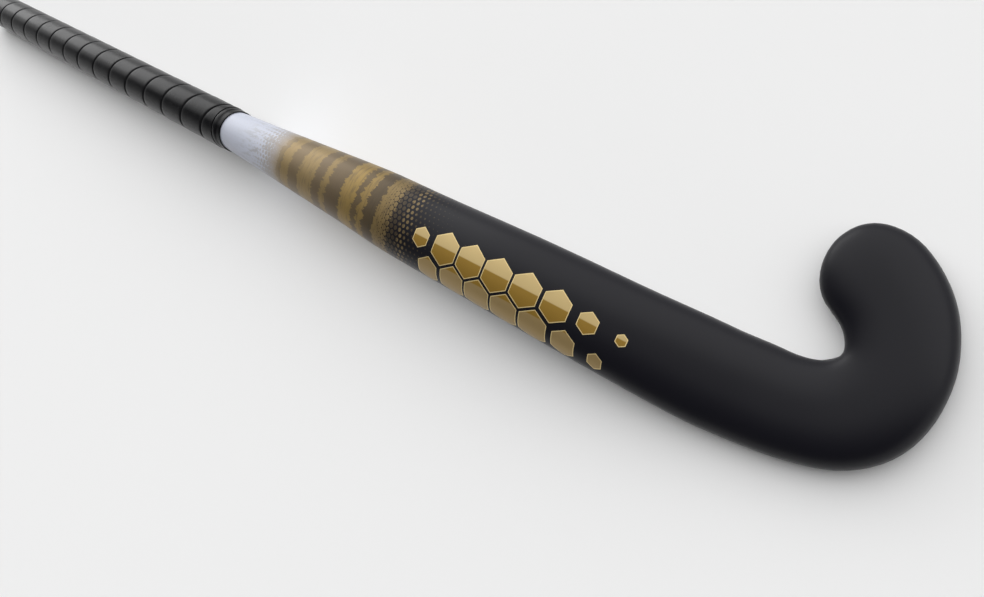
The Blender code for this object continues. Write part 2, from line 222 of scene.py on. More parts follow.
# The world's strength: at the horizon, and higher up on the heel's side and on the toe's side
HORIZON_LEVEL = 0.84
ROOM_LEVELS = (0.03, 2.0)
# Where a direction leaves the horizon, by its upward part, and the heel's side for the toe's, by its part to
# the toe's side plus ROOM_TURN times its part to the head
HORIZON_TO_ROOM = (0.1, 0.5)
ROOM_SIDES = (-0.12, 0.12)
ROOM_TURN = -0.05
# The softbox off the butt: its place, what it points at, its two sides in metres and its power in watts
SOFTBOX_PLACE = (-4.4, 1.9, 1.3)
SOFTBOX_AIM = (-0.25, 0, 0)
SOFTBOX_SIZE = (3.0, 2.2)
SOFTBOX_POWER = 52

# Colours, as linear light
SHELL_BLACK = (0.006, 0.0058, 0.0088, 1)
PEARL = (0.46, 0.485, 0.565, 1)
PEARL_GREY = (0.36, 0.36, 0.39, 1)
PEARL_WORN = (0.27, 0.255, 0.24, 1)
# The foil's three tones are painted reflection: lightest on the toe's side, a darker gold in the middle and a
# duller grey-brown on the heel's side
FOIL_PAINTED_LIGHT = (0.52, 0.39, 0.18, 1)
FOIL_PAINTED_MID = (0.28, 0.166, 0.029, 1)
FOIL_PAINTED_LOW = (0.33, 0.235, 0.105, 1)
GOLD_PRINT = (0.27, 0.195, 0.09, 1)
GOLD_DEEP = (0.26, 0.175, 0.055, 1)
GOLD_DARK = (0.2, 0.145, 0.075, 1)
# A painted highlight: the bright gold line round the rim of each foil cell
FOIL_PAINTED_HIGHLIGHT = (0.74, 0.58, 0.28, 1)
BRONZE = (0.15, 0.112, 0.07, 1)
GRIP_BLACK = (0.0045, 0.0045, 0.0052, 1)
GRIP_SCUFFED = (0.0115, 0.0115, 0.0122, 1)
PLUG_BLACK = (0.018, 0.018, 0.019, 1)
PLUG_SCUFFED = (0.025, 0.025, 0.026, 1)
LAMINATE_DARK = (0.012, 0.012, 0.013, 1)
LAMINATE_LIGHT = (0.045, 0.045, 0.048, 1)
CORE_FOAM = (0.55, 0.48, 0.33, 1)
SLEEVE_FOAM = (0.02, 0.02, 0.02, 1)
FLOOR_PALE = (0.825, 0.825, 0.825, 1)

# How metallic the print's inks are, how rough they, the lacquer and rolled edges are, how much the foil and
# handling marks add to the fine relief, and how dark foam gets away from the middles of its pores
INK_METAL = 0.35
INK_ROUGHNESS = 0.4
LACQUER_ROUGHNESS = (0.34, 0.42)
MATT_ROUGHNESS = 0.95
FOIL_RELIEF = 0.4
MARKS_RELIEF = 0.6
PORE_SHADE = 0.6

# Noises: how far each axis counts, the features to a metre, the detail and the roughness
Grain = namedtuple("Grain", "stretch scale detail roughness")
WEAR = Grain((1, 0.25, 0.25), 420, 3, 0.5)
CLOUDS = Grain((1, 1, 1), 38, 3, 0.5)
THREADS = Grain((1, 0.12, 0.12), 900, 4, 0.65)
BRISTLES = Grain((0.2, 1, 1), 420, 5, 0.7)
LACQUER = Grain((1, 1, 1), 900, 2, 0.5)
TACK = Grain((1, 1, 1), 1500, 2, 0.5)
HAND_MARKS = Grain((0.4, 1, 1), 60, 4, 0.5)
TAPE_SCUFFS = Grain((1, 1, 1), 260, 5, 0.7)

# The print, in millimetres of X along the shaft: where each stretch starts or ends
DOTS_FROM, DOTS_FULL = 32, 70
GOLD_END, BLACK_FROM = 144, 206
LATE_DOTS_FROM, PRINT_END = GOLD_END + 10, BLACK_FROM + 12
CELLS_FROM, CELLS_FULL, CELLS_FADE, CELLS_TO = 188, 222, 282, 340
# The hoops: the metal's colour by place, and how much the metal gives way to a darker shade from a place on
HOOP_METALS = (
    (0, PEARL),
    (40, PEARL),
    (60, PEARL_GREY),
    (72, GOLD_PRINT),
    (100, GOLD_PRINT),
    (GOLD_END, GOLD_DEEP),
    (BLACK_FROM, GOLD_DARK),
)
HOOP_SHADES = (
    (0, 0),
    (66, 0.55),
    (71, 0),
    (79, 0.75),
    (90, 0),
    (104, 0.9),
    (112, 0.15),
    (118, 0.9),
    (131, 0),
    (143, 0.8),
    (148, 0.1),
    (153, 0.85),
    (163, 0.25),
    (175, 0.85),
    (184, 0.3),
    (191, 0.8),
)
# Smooth steps along the shaft: (from, to, value before, value after)
TO_BLACK = (90, BLACK_FROM, 0.0, 1.0)
SCUFFS_GROW = (62, 100, 0.25, 1.0)
FLECKS_GROW = (10, 52, 0.0, 1.0)
DOTS_GROW = (DOTS_FROM, DOTS_FULL, 0.06, 0.62)
DOTS_SHRINK = (GOLD_END + 8, BLACK_FROM + 14, 0.6, 0.05)
CELLS_GROW = (CELLS_FROM, CELLS_FULL, 0.2, 0.46)
CELLS_SHRINK = (CELLS_FADE, CELLS_TO, 1.0, 0.3)
METAL_GROWS = (60, 75, 0.0, 1.0)
METAL_FADES = (BLACK_FROM - 30, BLACK_FROM + 8, 1.0, 0.0)
# The same over the value of a noise
THREADS_TO_SCUFFS = (0.48, 0.66, 0.0, 0.55)
BRISTLES_TO_FLECKS = (0.5, 0.6, 0.0, 0.7)
TAPE_TO_SCUFFS = (0.48, 0.7, 0.0, 1.0)
# How far the hoops' edges fray in millimetres, how much wear dulls them and clouds grey the pearl at most,
# and how much gold there is in the dots on the pearl
FRAY = 11.0
WEAR_SHARE = 0.22
CLOUD_SHARE = 0.35
EARLY_DOT_GOLD = 0.35
# Honeycombs, in millimetres: pitches, the foil's place round the shell, and how near its start no cell lies
DOT_PITCH = 3.4
CELL_PITCH = 18.5
CELL_ROW_AT = -4.0
CELLS_CLEAR = 8
# A far corner from which honeycombs are counted, so that no coordinate is negative
CELLS_ORIGIN = 400.0
# The foil: the width in pitches of the painted highlight round each cell, where its painted reflection turns
# light and dark round the shell and the blur between them in millimetres, and the upward part of the skin's
# normal below which there is none
PAINTED_HIGHLIGHT_RIM = 0.022
PAINTED_LIGHT_AT, PAINTED_LOW_AT, PAINTED_BLUR = -3.0, -13.0, 0.4
FOIL_LOWEST_NORMAL = -0.5


def smooth(table, at):
    """The value of a (position, value) table, on a curve through its entries that never overshoots them."""
    spans = [(b[0] - a[0], (b[1] - a[1]) / (b[0] - a[0])) for a, b in zip(table, table[1:])]
    if at <= table[0][0]:
        return table[0][1]
    if at >= table[-1][0]:
        return table[-1][1]
    slopes = [0.0]
    for (_, before), (_, after) in zip(spans, spans[1:]):
        slopes.append(2 * before * after / (before + after) if before * after > 0 else 0.0)
    slopes.append(0.0)
    part = max(i for i, entry in enumerate(table[:-1]) if entry[0] <= at)
    step = spans[part][0]
    t = (at - table[part][0]) / step
    return (
        table[part][1] * (1 + 2 * t) * (1 - t) ** 2
        + table[part + 1][1] * (3 - 2 * t) * t * t
        + slopes[part] * step * t * (1 - t) ** 2
        - slopes[part + 1] * step * t * t * (1 - t)
    )


def hook_length():
    return sum(radius * math.radians(angle) for radius, angle in HOOK_ARCS)


def hook_point(run):
    """(x, y, heading) on the centre line, with the hook's start at the origin and heading along +X."""
    x, y, heading = min(run, 0.0), 0.0, 0.0
    left = max(run, 0.0)
    for radius, angle in HOOK_ARCS:
        turned = min(left / radius, math.radians(angle))
        x += radius * (math.sin(heading + turned) - math.sin(heading))
        y += radius * (math.cos(heading) - math.cos(heading + turned))
        heading += turned
        left -= radius * turned
    return x + left * math.cos(heading), y + left * math.sin(heading), heading


def head_reach():
    """How far the head's outer edge reaches past the hook's start."""
    reach = 0.0
    for step in range(REACH_STEPS):
        run = hook_length() * step / REACH_STEPS
        x, _, heading = hook_point(run)
        outside = smooth(WIDTHS, run) / 2 - smooth(SIDE_SHIFTS, run)
        reach = max(reach, x + outside * math.sin(heading))
    return reach


HOOK_START = -head_reach()
BUTT_LIFT = FLANGE_RADIUS - HANDLE_RADIUS
HANDLE_SLOPE = (BOW_HEIGHT - BUTT_LIFT) / (LENGTH + BOW_END + (BOW_TOP - BOW_END) / 2)
HANDLE_TILT = math.atan(HANDLE_SLOPE)
BUTT = -LENGTH + (HANDLE_RADIUS + FLANGE_RADIUS - FLANGE_EDGE) * math.sin(HANDLE_TILT)
SHELL_START = FLANGE_LENGTH + GAP
TAPE_END = GRIP_LENGTH - BAND_LENGTH
# The stick's frame in the row: s is counted from X = LENGTH / 2, and the shaft's middle is to the heel's side
PLUG_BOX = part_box("butt_plug")
MIDDLE_X = LENGTH / 2
MIDDLE_Y = (PLUG_BOX[0].y + PLUG_BOX[1].y) / 2
HANDLE_ALONG = Vector((math.cos(HANDLE_TILT), 0, math.sin(HANDLE_TILT)))
HANDLE_UP = Vector((-math.sin(HANDLE_TILT), 0, math.cos(HANDLE_TILT)))
HANDLE_SIDE = Vector((0, 1, 0))


def rise(s):
    """Height of the shell's playing side over the floor."""
    if s >= BOW_START:
        return 0.0
    if s >= BOW_TOP:
        u = (s - BOW_START) / (BOW_TOP - BOW_START)
        return BOW_HEIGHT * u * u * (3 - 2 * u)
    if s >= BOW_END:
        return BOW_HEIGHT - HANDLE_SLOPE * (BOW_TOP - s) ** 2 / (BOW_TOP - BOW_END) / 2
    return BUTT_LIFT + HANDLE_SLOPE * (LENGTH + s)


def lean(s):
    """Angle at which the stick climbs there."""
    return math.atan2(rise(s + LEAN_STEP) - rise(s - LEAN_STEP), 2 * LEAN_STEP)


def half_outline(width, bottom, top, flat, waist, fullness):
    """Half a section, from the middle of the playing face to the middle of the back, as (side, height)."""
    side = width / 2
    edge = side - flat / 2
    points = [(flat / 2 * step / FLAT_STEPS, bottom) for step in range(FLAT_STEPS + 1)]
    for step in range(1, CORNER_STEPS + 1):
        angle = math.pi / 2 * step / CORNER_STEPS
        points.append((flat / 2 + edge * math.sin(angle), waist - (waist - bottom) * math.cos(angle)))
    for step in range(1, BACK_STEPS + 1):
        angle = math.pi / 2 * step / BACK_STEPS
        across = side * max(math.cos(angle), 0.0) ** (2 / fullness) if step < BACK_STEPS else 0.0
        points.append((across, waist + (top - waist) * math.sin(angle) ** (2 / fullness)))
    return points


def half_section(run, inset=0.0, toe=0.0):
    """The half section at a run, drawn in all round by inset, and drawn in as toe goes from 0 to 1."""
    d_shape = smooth(D_SHAPE, run)
    whole, height = smooth(WIDTHS, run), smooth(HEIGHTS, run)
    waist = height / 2 + d_shape * (FACE_EDGE_HEIGHT - height / 2)
    flat = ROUND_FLAT + d_shape * (whole - 2 * FACE_EDGE_WIDTH - ROUND_FLAT)
    fullness = 2 + d_shape * (smooth(BACK_FULLNESS, run) - 2)
    width = (whole - 2 * inset) * math.sqrt(1 - toe * toe)
    top = waist + (height - inset - waist) * (1 - toe**fullness) ** (1 / fullness)
    near_end = max(1 - TOE_LENGTH * (1 - toe) / FACE_EDGE_WIDTH, 0.0)
    bottom = inset + (waist - inset) * (1 - math.sqrt(1 - near_end**2)) if toe else inset
    flat = min(flat * width / (whole - 2 * inset), width - 2 * GAP)
    return half_outline(width, bottom, top, flat, waist, fullness)


def placed(points, run, toe=0.0):
    """Section points (side, height) as points of the row, square to the centre line and riding on the bow."""
    at = run + TOE_LENGTH * toe
    x, y, heading = hook_point(at)
    s = x + HOOK_START
    tilt = lean(s)
    side = Vector((-math.sin(heading), math.cos(heading), 0))
    up = Vector((-math.sin(tilt), 0, math.cos(tilt)))
    base = Vector((s + MIDDLE_X, y + MIDDLE_Y, rise(s))) + side * smooth(SIDE_SHIFTS, at)
    base -= up * smooth(FACE_DROPS, run)
    return [base + side * across + up * height for across, height in points]


def both_sides(half):
    """The whole section from its half."""
    return half + [(-across, height) for across, height in half[-2:0:-1]]


def distances_around(half):
    """How far round from the middle of the back each point of a section is, positive towards the toe."""
    steps = [math.dist(a, b) for a, b in zip(half, half[1:])]
    left = [sum(steps[i:]) for i in range(len(half))]
    return left + [-distance for distance in left[-2:0:-1]]


def on_handle(radius, angle, along):
    """A point of the row.

    It is given by its radius, its angle from the back towards the toe, and its distance from the butt.
    """
    butt = Vector((BUTT + MIDDLE_X, MIDDLE_Y, rise(BUTT))) + HANDLE_UP * HANDLE_RADIUS
    out = HANDLE_UP * math.cos(angle) + HANDLE_SIDE * math.sin(angle)
    return butt + HANDLE_ALONG * along + out * radius


def runs_between(start, stop, step):
    """Even steps of about the size given, with both ends."""
    count = max(round((stop - start) / step), 1)
    return [start + (stop - start) * i / count for i in range(count + 1)]


def run_from_butt(distance):
    """The run at a distance up the handle."""
    return BUTT + distance * math.cos(HANDLE_TILT) - HOOK_START


def add_piece(name, bm, *nodes):
    """A piece of the object that rides on its one body and stands for the CAD nodes named."""
    bmesh.ops.recalc_face_normals(bm, faces=bm.faces)
    mesh = bpy.data.meshes.new(name)
    bm.to_mesh(mesh)
    bm.free()
    mesh.shade_smooth()
    mesh.set_sharp_from_angle(angle=math.radians(SHARP_ANGLES[name]))
    piece = bpy.data.objects.new(name, mesh)
    bpy.context.scene.collection.objects.link(piece)
    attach(piece, "root")
    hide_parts(*nodes)
    return piece


def add_rings(bm, rings):
    """Vertices of each ring in turn, with a band of quads between neighbours."""
    loops = [[bm.verts.new(point) for point in ring] for ring in rings]
    for loop, following in zip(loops, loops[1:]):
        for i, vert in enumerate(loop):
            after = (i + 1) % len(loop)
            bm.faces.new((vert, loop[after], following[after], following[i]))
    return loops


def even_out(bm, centre, reach, rounds):
    """Smooths the skin round a point in plan, less and less out to the reach, and keeps its heights."""
    near = [vert for vert in bm.verts if (vert.co - centre).length < reach]
    before = [vert.co.copy() for vert in near]
    for _ in range(rounds):
        bmesh.ops.smooth_vert(bm, verts=near, factor=0.5, use_axis_x=True, use_axis_y=True)
    for vert, place in zip(near, before):
        share = 1 - (place - centre).length / reach
        vert.co = place.lerp(vert.co, share * share * (3 - 2 * share))


def shell_skin():
    """The moulded shell, outside and inside, from the same sections as the CAD node."""
    handle = runs_between(run_from_butt(SHELL_START), run_from_butt(TAPE_END), HANDLE_STEP)
    banded = runs_between(run_from_butt(TAPE_END), run_from_butt(GRIP_LENGTH), BAND_STEP)[1:]
    shaft = runs_between(run_from_butt(GRIP_LENGTH), FINE_FROM, SHAFT_STEP)[1:]
    head = runs_between(FINE_FROM, hook_length(), HOOK_STEP)[1:]
    sections = [(half_section(run), run, 0.0) for run in handle + banded + shaft + head]
    for angle in TOE_ANGLES:
        toe = math.sin(math.radians(angle))
        sections.append((half_section(hook_length(), 0.0, toe), hook_length(), toe))
    # The cavity can't be seen, so it takes only some of the steps
    cavity = handle + banded[::3] + shaft[::2] + [run for run in head[::3] if run < CAVITY_END]
    bm = bmesh.new()
    around = bm.verts.layers.float.new(AROUND)
    outside = add_rings(bm, [placed(both_sides(half), run, toe) for half, run, toe in sections])
    for ring, (half, _, _) in zip(outside, sections):
        for vert, distance in zip(ring, distances_around(half)):
            vert[around] = distance
    inside = add_rings(
        bm, [placed(both_sides(half_section(run, smooth(SHELL_WALLS, run))), run) for run in cavity]
    )
    bm.faces.new(outside[-1])
    bm.faces.new(inside[-1])
    for i in range(len(outside[0])):
        after = (i + 1) % len(outside[0])
        bm.faces.new((outside[0][i], outside[0][after], inside[0][after], inside[0][i]))
    throat = placed([(smooth(WIDTHS, THROAT_RUN) / 2, FACE_EDGE_HEIGHT)], THROAT_RUN)[0]
    even_out(bm, throat, THROAT_REACH, THROAT_ROUNDS)
    return add_piece("shell_skin", bm, "outer_shell")


def lathe(name, profile, *nodes):
    """A closed (radius, distance) profile turned about the handle's axis; a radius of 0 is on the axis."""
    bm = bmesh.new()
    rings = []
    for radius, along in profile:
        count = LATHE_STEPS if radius > 0 else 1
        rings.append(
            [bm.verts.new(on_handle(radius, math.tau * i / LATHE_STEPS, along)) for i in range(count)]
        )
    for ring, following in zip(rings, rings[1:] + rings[:1]):
        for i in range(LATHE_STEPS):
            corners = [
                ring[i % len(ring)],
                ring[(i + 1) % len(ring)],
                following[(i + 1) % len(following)],
                following[i % len(following)],
            ]
            corners = list(dict.fromkeys(corners))
            if len(corners) > 2:
                bm.faces.new(corners)
    return add_piece(name, bm, *nodes)


def rounded(centre, radius, first, last, steps):
    """Points of a corner's arc in a (radius, distance) profile, by angles in degrees."""
    angles = [math.radians(first + (last - first) * i / steps) for i in range(steps + 1)]
    return [(centre[0] + radius * math.cos(a), centre[1] + radius * math.sin(a)) for a in angles]


def butt_cap():
    """The plug, with a rounded flange and a shallow moulded dish in its end."""
    tip = FLANGE_LENGTH + SPIGOT_LENGTH
    profile = [
        (0.0, tip),
        (SPIGOT_RADIUS - SPIGOT_CHAMFER, tip),
        (SPIGOT_RADIUS, tip - SPIGOT_CHAMFER),
        (SPIGOT_RADIUS, FLANGE_LENGTH),
    ]
    inner = (FLANGE_RADIUS - FLANGE_SMALL_EDGE, FLANGE_LENGTH - FLANGE_SMALL_EDGE)
    outer = (FLANGE_RADIUS - FLANGE_EDGE, FLANGE_EDGE)
    profile += rounded(inner, FLANGE_SMALL_EDGE, 90, 0, SMALL_EDGE_STEPS)
    profile += rounded(outer, FLANGE_EDGE, 0, -90, FLANGE_EDGE_STEPS)
    profile += [(DISH_RADIUS + DISH_SLOPE, 0.0), (DISH_RADIUS, DISH_DEPTH), (0.0, DISH_DEPTH)]
    return lathe("butt_cap", profile, "butt_plug")


def grip_band():
    """The stretched finishing band: two turns of thin tape, rounded down on to the shaft."""
    top, low = TAPE_END, GRIP_LENGTH
    profile = [(BAND_INNER_TOP, top), (BAND_INNER_LOW, low - BAND_LIP)]
    profile += rounded((BAND_EDGE_CENTRE, low - BAND_EDGE), BAND_EDGE, 90, 0, BAND_EDGE_STEPS)
    profile += [(radius, low - distance) for radius, distance in BAND_FROM_LOW]
    profile += [(radius, top + distance) for radius, distance in BAND_FROM_TOP]
    return lathe("grip_band", profile, "finishing_tape")


def wander(turn):
    """How far a hand-wound turn has slid along the handle."""
    return WANDER * noise.noise(Vector((turn * WANDER_RATE, WANDER_ROW, NOISE_LAYER)))


def swell(turn):
    """How much more the tape stands out here and there."""
    return SWELL * noise.noise(Vector((turn * SWELL_RATE, SWELL_ROW, NOISE_LAYER)))


def strip_section():
    """The tape's section: (share of the strip's width, distance past that, radius)."""
    foot = TAPE_INNER + WRAP_FOOT
    section = [(0, WRAP_UNDER_INSET, TAPE_INNER), (1, -WRAP_UNDER_INSET, TAPE_INNER), (1, 0.0, foot)]
    section += [(1, -in_from, WRAP_LOW - down) for in_from, down in WRAP_EDGE]
    section += [(part, 0.0, WRAP_HIGH - (WRAP_HIGH - WRAP_LOW) * part) for part in WRAP_MIDDLE]
    section += [(0, in_from, WRAP_HIGH - down) for in_from, down in reversed(WRAP_EDGE)]
    return section + [(0, WRAP_FOOT_INSET, foot)]


def grip_wrap():
    """One strip wound from the butt to the band, each turn's edge raised over the turn before it."""
    start, end = FLANGE_LENGTH + GAP, TAPE_END - GAP
    section = strip_section()
    seams_before = math.ceil((TAPE_SEAM_AT_BACK - start) / TAPE_PITCH) + 1
    first = TAPE_SEAM_AT_BACK - TAPE_PITCH * seams_before
    turns = math.ceil((end - first) / TAPE_PITCH) + 1
    rings = []
    for step in range(turns * TAPE_TURN_STEPS + 1):
        turn = step / TAPE_TURN_STEPS
        along = first + TAPE_SEAM / 2 + TAPE_PITCH * turn + wander(turn)
        strip = TAPE_PITCH - TAPE_SEAM + wander(turn + 1) - wander(turn)
        ring = []
        for part, past, radius in section:
            lift = swell(turn) if radius > WRAP_LOW - SWELL_DEPTH else 0.0
            ring.append(on_handle(radius + lift, math.tau * turn, along + strip * part + past))
        rings.append(ring)
    bm = bmesh.new()
    rolled = bm.verts.layers.float.new(ROLLED_EDGE)
    loops = add_rings(bm, rings)
    for loop in loops:
        for vert, (part, past, _) in zip(loop, section):
            vert[rolled] = 1.0 if part in (0, 1) and abs(past) < MATT_EDGE else 0.0
    bm.faces.new(loops[0])
    bm.faces.new(loops[-1])
    for at, outwards in ((start, -1), (end, 1)):
        cut = bmesh.ops.bisect_plane(
            bm,
            geom=bm.verts[:] + bm.edges[:] + bm.faces[:],
            plane_co=on_handle(0.0, 0.0, at),
            plane_no=HANDLE_ALONG * outwards,
            clear_outer=True,
        )
        painted_highlight = [item for item in cut["geom_cut"] if isinstance(item, bmesh.types.BMEdge)]
        bmesh.ops.triangle_fill(bm, edges=painted_highlight, use_beauty=True)
    return add_piece("grip_wrap", bm, "grip_tape")


class Nodes:
    """Adds shader nodes to one material or world, its owner, and links them."""

    def __init__(self, owner):
        owner.use_nodes = True
        self.owner = owner
        self.tree = owner.node_tree

    def put(self, socket, value):
        if isinstance(value, bpy.types.NodeSocket):
            self.tree.links.new(value, socket)
        else:
            socket.default_value = value

    def node(self, kind, *inputs, **settings):
        made = self.tree.nodes.new(kind)
        for key, value in settings.items():
            setattr(made, key, value)
        for socket, value in zip(made.inputs, inputs):
            if value is not None:
                self.put(socket, value)
        return made

    def shade(self, kind, **inputs):
        """Sets inputs of the shader that the owner came with, and returns the owner."""
        for key, value in inputs.items():
            self.put(self.tree.nodes[kind].inputs[key.replace("_", " ")], value)
        return self.owner

    def surface(self, **inputs):
        return self.shade("Principled BSDF", **inputs)

    def math(self, operation, a, b=None, c=None):
        return self.node("ShaderNodeMath", a, b, c, operation=operation).outputs[0]

    def vector(self, operation, a, b=None):
        made = self.node("ShaderNodeVectorMath", a, b, operation=operation)
        return made.outputs["Value" if operation in ("LENGTH", "DOT_PRODUCT") else "Vector"]

    def every(self, first, *others):
        """1 where each test is 1, and 0 elsewhere."""
        product = first
        for test in others:
            product = self.math("MULTIPLY", product, test)
        return product

    def place(self):
        return self.node("ShaderNodeTexCoord").outputs["Object"]

    def normal(self):
        return self.node("ShaderNodeNewGeometry").outputs["Normal"]

    def attribute(self, name):
        return self.node("ShaderNodeAttribute", attribute_name=name).outputs["Fac"]

    def parts(self, vector):
        return self.node("ShaderNodeSeparateXYZ", vector).outputs

    def ease(self, value, low, high, out_low=0.0, out_high=1.0):
        """A smooth step of value from out_low at low to out_high at high."""
        made = self.node("ShaderNodeMapRange", value, low, high, out_low, out_high)
        made.interpolation_type = "SMOOTHSTEP"
        return made.outputs["Result"]

    def mix(self, amount, a, b):
        """A colour between a and b."""
        made = self.node("ShaderNodeMix", data_type="RGBA")
        self.put(made.inputs[0], amount)
        self.put(made.inputs[6], a)
        self.put(made.inputs[7], b)
        return made.outputs[2]

    def blend(self, amount, a, b):
        """A number between a and b."""
        made = self.node("ShaderNodeMix", data_type="FLOAT")
        self.put(made.inputs[0], amount)
        self.put(made.inputs[2], a)
        self.put(made.inputs[3], b)
        return made.outputs[0]

    def noise(self, place, grain):
        """A noise that varies as the grain says."""
        made = self.node("ShaderNodeTexNoise", self.vector("MULTIPLY", place, grain.stretch))
        made.inputs["Scale"].default_value = grain.scale
        made.inputs["Detail"].default_value = grain.detail
        made.inputs["Roughness"].default_value = grain.roughness
        return made.outputs["Fac"]

    def ramp(self, value, stops, interpolation="LINEAR"):
        made = self.node("ShaderNodeValToRGB", value)
        made.color_ramp.interpolation = interpolation
        elements = made.color_ramp.elements
        elements[0].position, elements[0].color = stops[0]
        elements[1].position, elements[1].color = stops[-1]
        for position, color in stops[1:-1]:
            elements.new(position).color = color
        return made.outputs["Color"]

    def bump(self, height, strength, distance):
        made = self.node("ShaderNodeBump")
        made.inputs["Strength"].default_value = strength
        made.inputs["Distance"].default_value = distance
        self.put(made.inputs["Height"], height)
        return made.outputs["Normal"]

    def cells(self, x, y, pitch):
        """A honeycomb: (vector from a cell's centre in pitches, that centre's x and y)."""
        root3 = math.sqrt(3)
        u = self.math("DIVIDE", self.math("ADD", x, CELLS_ORIGIN), pitch)
        v = self.math("DIVIDE", self.math("ADD", y, CELLS_ORIGIN), pitch)
        point = self.node("ShaderNodeCombineXYZ", u, v, 0.0).outputs[0]
        halves = (0.5, root3 / 2, 0.0)
        whole = (1.0, root3, 1.0)
        even = self.vector("SUBTRACT", self.vector("MODULO", point, whole), halves)
        shifted = self.vector("MODULO", self.vector("ADD", point, halves), whole)
        odd = self.vector("SUBTRACT", shifted, halves)
        nearer = self.math("LESS_THAN", self.vector("LENGTH", even), self.vector("LENGTH", odd))
        made = self.node("ShaderNodeMix", data_type="VECTOR")
        self.put(made.inputs[0], nearer)
        self.put(made.inputs[4], odd)
        self.put(made.inputs[5], even)
        offset = made.outputs[1]
        centre = self.parts(self.vector("SUBTRACT", point, offset))
        at = [self.math("SUBTRACT", self.math("MULTIPLY", centre[i], pitch), CELLS_ORIGIN) for i in (0, 1)]
        return offset, at[0], at[1]

    def hexagon(self, offset):
        """How far out of a honeycomb cell a point is: 0 at its centre and 0.5 at its edges."""
        apart = self.vector("ABSOLUTE", offset)
        slant = self.vector("DOT_PRODUCT", apart, (0.5, math.sqrt(3) / 2, 0.0))
        return self.math("MAXIMUM", self.parts(apart)[0], slant)


def material_nodes(name):
    return Nodes(bpy.data.materials.new(name))


def hooped(m, place, along, bristles):
    """The hoops' colour: bands with frayed edges, pearl by the grip and darker towards the head."""
    frayed = m.math("MULTIPLY_ADD", m.math("SUBTRACT", bristles, 0.5), FRAY, along)
    span = m.math("DIVIDE", frayed, BLACK_FROM)
    metal = m.ramp(span, [(at / BLACK_FROM, color) for at, color in HOOP_METALS])
    shaded = m.ramp(span, [(at / BLACK_FROM, (v, v, v, 1)) for at, v in HOOP_SHADES], "CONSTANT")
    shade = m.mix(m.ease(along, *TO_BLACK), BRONZE, SHELL_BLACK)
    bands = m.mix(shaded, metal, shade)
    wear = m.blend(m.noise(place, WEAR), 0.0, WEAR_SHARE)
    worn = m.mix(wear, bands, m.mix(0.5, bands, SHELL_BLACK))
    threads = m.ease(m.noise(place, THREADS), *THREADS_TO_SCUFFS)
    return m.mix(m.math("MULTIPLY", threads, m.ease(along, *SCUFFS_GROW)), worn, shade)


def dotted(m, place, along, across, bristles, hoops):
    """The whole print: dots grow out of the pearl into the hoops, and shrink again over the black."""
    offset, dot_at, _ = m.cells(along, across, DOT_PITCH)
    distance = m.vector("LENGTH", offset)
    clouds = m.blend(m.noise(place, CLOUDS), 0.0, CLOUD_SHARE)
    flecks = m.math("MULTIPLY", m.ease(bristles, *BRISTLES_TO_FLECKS), m.ease(along, *FLECKS_GROW))
    pearl = m.mix(flecks, m.mix(clouds, PEARL, PEARL_GREY), PEARL_WORN)
    in_early_dot = m.math("LESS_THAN", distance, m.ease(dot_at, *DOTS_GROW))
    early = m.mix(in_early_dot, pearl, m.mix(EARLY_DOT_GOLD, hoops, GOLD_PRINT))
    in_late_dot = m.math("LESS_THAN", distance, m.ease(dot_at, *DOTS_SHRINK))
    late = m.mix(in_late_dot, SHELL_BLACK, hoops)
    to_hoops = m.mix(m.math("GREATER_THAN", along, DOTS_FULL), early, hoops)
    to_black = m.mix(m.math("GREATER_THAN", along, LATE_DOTS_FROM), to_hoops, late)
    return m.mix(m.math("LESS_THAN", along, PRINT_END), SHELL_BLACK, to_black)


def honeycomb(m, along, across):
    """Foil cells, largest in the middle: (1 where there is foil, its gold with a painted reflection in three
    tones round the shell and a painted highlight round each cell).
    """
    offset, cell_at, cell_across = m.cells(along, m.math("SUBTRACT", across, CELL_ROW_AT), CELL_PITCH)
    size = m.math("MULTIPLY", m.ease(cell_at, *CELLS_GROW), m.ease(cell_at, *CELLS_SHRINK))
    out = m.hexagon(offset)
    from_rows = m.math("ABSOLUTE", m.math("ADD", cell_across, CELL_PITCH / 2))
    foil = m.every(
        m.math("LESS_THAN", out, size),
        m.math("LESS_THAN", from_rows, CELL_PITCH),
        m.math("GREATER_THAN", cell_at, CELLS_FROM + CELLS_CLEAR),
        m.math("LESS_THAN", cell_at, CELLS_TO),
        m.math("GREATER_THAN", m.parts(m.normal())[2], FOIL_LOWEST_NORMAL),
    )
    # Painted reflection: the foil's gold turns lighter towards the toe's side and duller towards the heel's
    # side, round the shell
    toward_painted_light = m.ease(across, PAINTED_LIGHT_AT - PAINTED_BLUR, PAINTED_LIGHT_AT + PAINTED_BLUR)
    toward_painted_low = m.ease(across, PAINTED_LOW_AT + PAINTED_BLUR, PAINTED_LOW_AT - PAINTED_BLUR)
    painted_reflection = m.mix(toward_painted_low, m.mix(toward_painted_light, FOIL_PAINTED_MID, FOIL_PAINTED_LIGHT), FOIL_PAINTED_LOW)
    # Painted highlight: a bright gold line just inside each foil cell's edge
    painted_highlight = m.math("GREATER_THAN", out, m.math("SUBTRACT", size, PAINTED_HIGHLIGHT_RIM))
    return foil, m.mix(painted_highlight, painted_reflection, FOIL_PAINTED_HIGHLIGHT)


